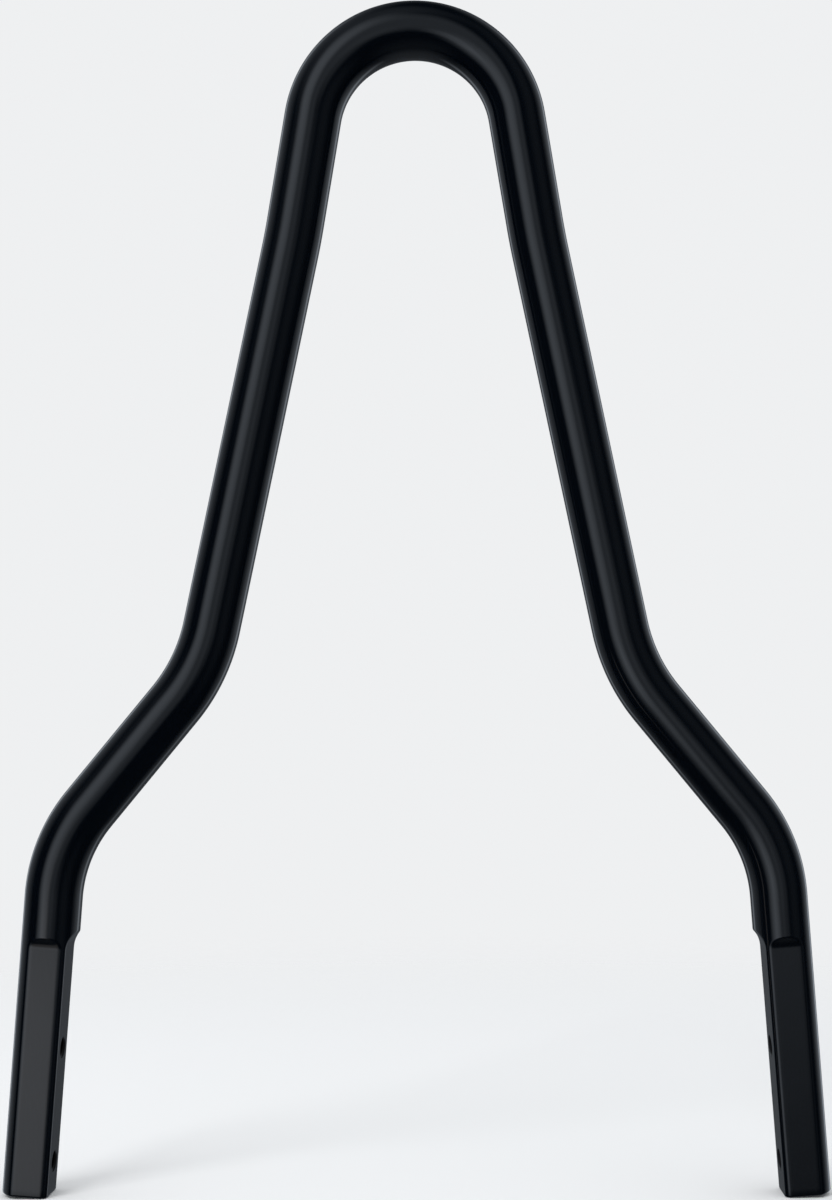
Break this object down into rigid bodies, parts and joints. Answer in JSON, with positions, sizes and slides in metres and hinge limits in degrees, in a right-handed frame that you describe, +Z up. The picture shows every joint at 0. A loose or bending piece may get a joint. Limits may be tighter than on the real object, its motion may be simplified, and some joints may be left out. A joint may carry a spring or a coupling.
{
  "type": "sissy bar",
  "caption": "Upright motorcycle sissy bar bent from one round bar into a narrow arch over two spread legs, with flat-milled feet tapped for screws.",
  "frame": {"origin": "on the ground line under the foot ends, midway between the two legs", "axes": "+Z up towards the arch, +X from the left leg to the right leg, Y across the bar's thickness with the pictured front towards -Y"},
  "size_m": [0.2768, 0.019, 0.3989],
  "materials": {
    "gloss_black": "gloss black powder coat over solid steel bar"
  },
  "bodies": {
    "root": {"bar": "gloss_black"}
  },
  "joints": []
}
